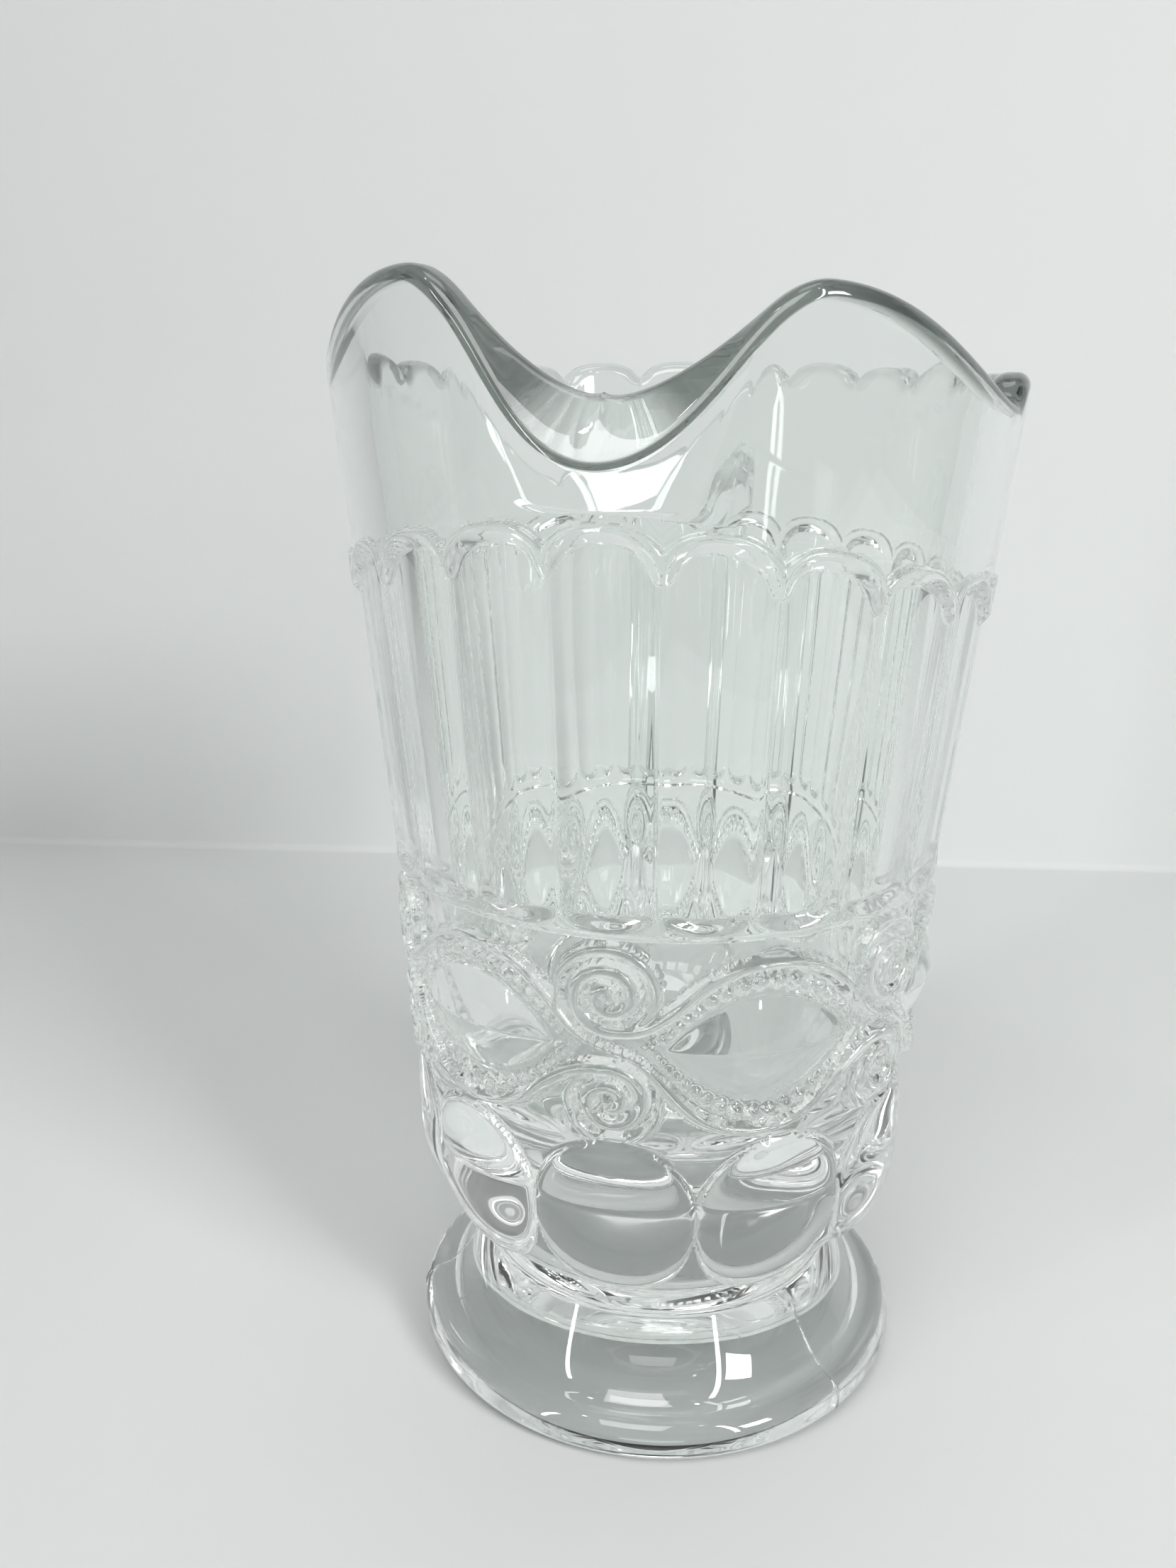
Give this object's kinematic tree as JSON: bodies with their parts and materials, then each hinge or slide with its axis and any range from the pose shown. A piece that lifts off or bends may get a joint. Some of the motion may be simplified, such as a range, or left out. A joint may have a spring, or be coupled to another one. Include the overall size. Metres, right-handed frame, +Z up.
{
  "type": "footed creamer",
  "caption": "Tall footed glass creamer: fluted tapering bowl with a scalloped rim and low spout, a beaded eye and scroll band, thumbprints, a bell foot and a loop handle at the back.",
  "frame": {"origin": "on the surface it stands on, under the middle of the overall length and width; the creamer's own axis is 12.9 mm towards the spout from it", "axes": "+Z up along the creamer's axis; the spout points to -Y and the handle to +Y; +X to the right when looking at the spout"},
  "size_m": [0.0796, 0.1118, 0.1332],
  "materials": {
    "clear_glass_bowl": "fire-polished clear soda-lime glass with a faint grey-green tint",
    "clear_glass_foot": "smooth clear soda-lime glass",
    "clear_glass_handle": "smooth panelled clear soda-lime glass"
  },
  "bodies": {
    "root": {"bowl": "clear_glass_bowl", "foot": "clear_glass_foot", "handle": "clear_glass_handle"}
  },
  "joints": []
}
